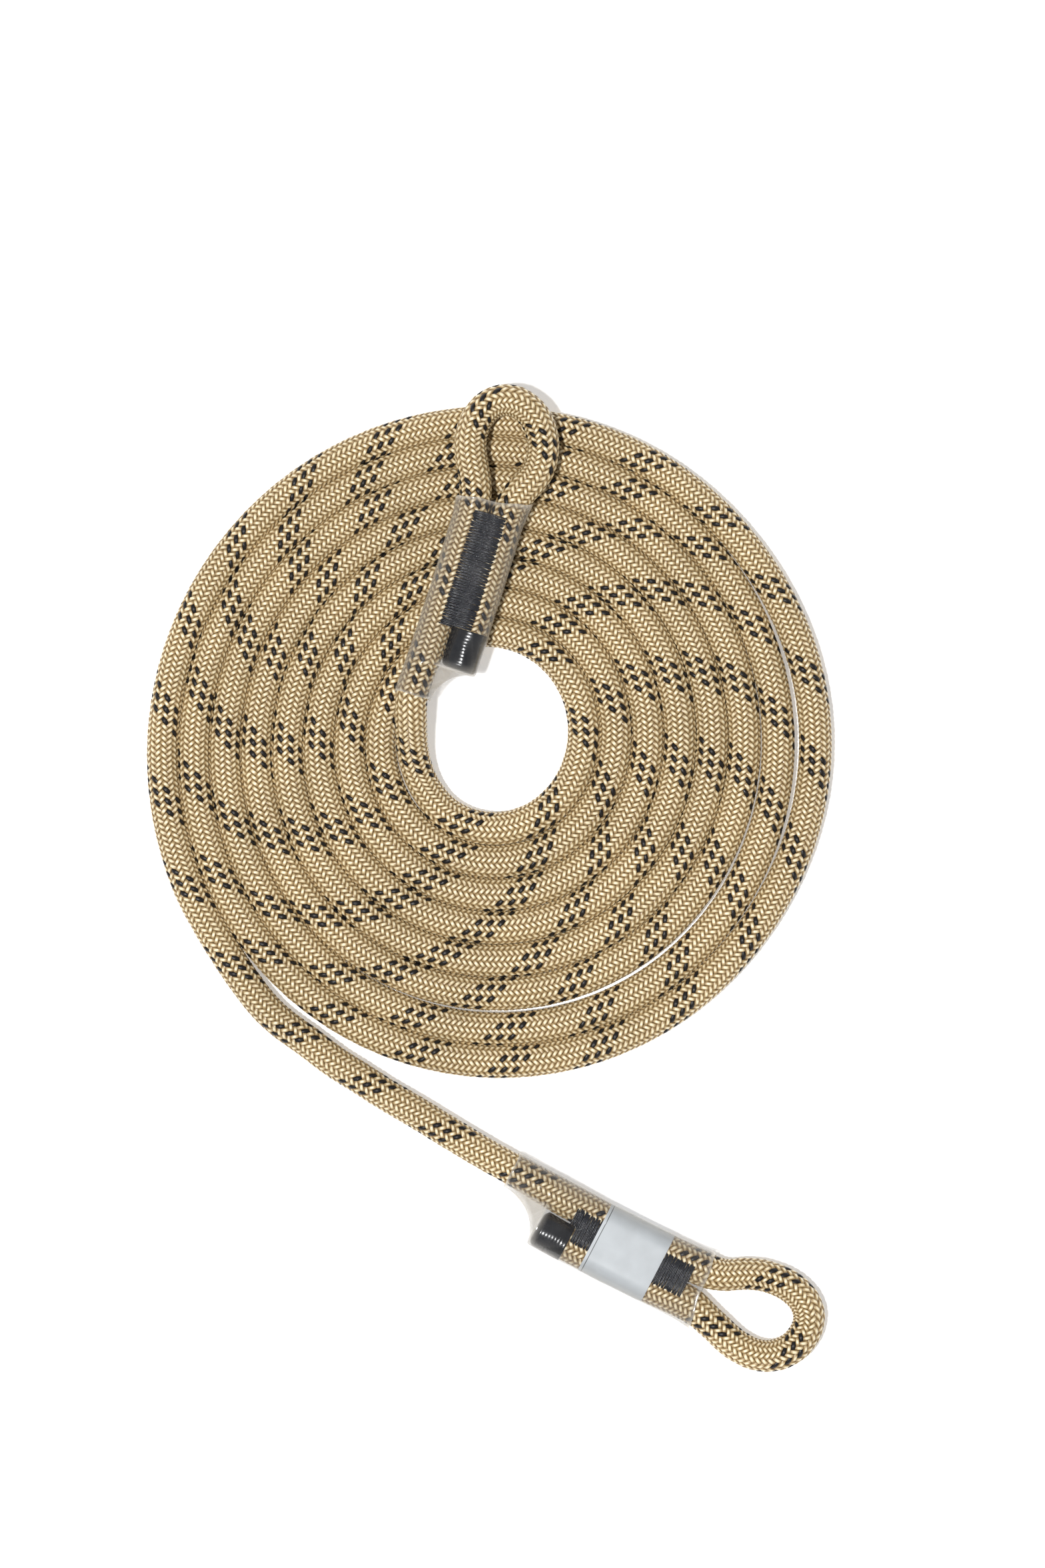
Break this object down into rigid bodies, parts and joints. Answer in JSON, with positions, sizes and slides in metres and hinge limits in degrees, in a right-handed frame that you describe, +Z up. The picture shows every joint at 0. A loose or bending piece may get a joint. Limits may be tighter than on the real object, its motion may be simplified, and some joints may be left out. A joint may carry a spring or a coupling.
{
  "type": "rescue rope with sewn eyes",
  "caption": "Kernmantle escape rope in a flat coil, with a sewn eye, black end cap and clear sleeve on each end.",
  "frame": {"origin": "on the floor, under the middle of the whole rope as it lies", "axes": "+Y along the longest side, from the outer eye towards the inner eye, +X to the right of it, +Z up off the floor"},
  "size_m": [0.263, 0.381, 0.0282],
  "materials": {
    "rope_sheath": "satin",
    "tracer_yarn": "satin",
    "rope_core": "matte",
    "rope_tip": "matte",
    "end_cap": "gloss",
    "stitching": "satin",
    "clear_sleeve": "gloss",
    "label": "satin"
  },
  "bodies": {
    "coil": {"rope_coil": "rope_sheath", "inner_turn_sheath": "rope_sheath", "inner_turn_core": "rope_core", "tail_sheath": "rope_sheath", "tail_core": "rope_core"},
    "inner_end": {"inner_standing_part_sheath": "rope_sheath", "inner_standing_part_core": "rope_core", "inner_eye_sheath": "rope_sheath", "inner_eye_core": "rope_core", "inner_return_leg_sheath": "rope_sheath", "inner_return_leg_core": "rope_core", "inner_rope_tip": "rope_tip", "inner_end_cap": "end_cap", "inner_stitching_upper": "stitching", "inner_stitching_lower": "stitching", "inner_sleeve": "clear_sleeve"},
    "outer_end": {"outer_standing_part_sheath": "rope_sheath", "outer_standing_part_core": "rope_core", "outer_eye_sheath": "rope_sheath", "outer_eye_core": "rope_core", "outer_return_leg_sheath": "rope_sheath", "outer_return_leg_core": "rope_core", "outer_rope_tip": "rope_tip", "outer_end_cap": "end_cap", "outer_stitching_upper": "stitching", "outer_stitching_lower": "stitching", "outer_sleeve": "clear_sleeve", "outer_label": "label"}
  },
  "joints": [
    {"name": "inner_eye_swing", "type": "hinge", "parent": "coil", "child": "inner_end", "pos_m": [-0.0302, 0.05652, 0.01608], "axis": [0, 0, 1], "range_deg": [-15, 15]},
    {"name": "outer_eye_swing", "type": "hinge", "parent": "coil", "child": "outer_end", "pos_m": [-0.02541, -0.09204, 0.0068], "axis": [0, 0, 1], "range_deg": [-25, 15]}
  ]
}
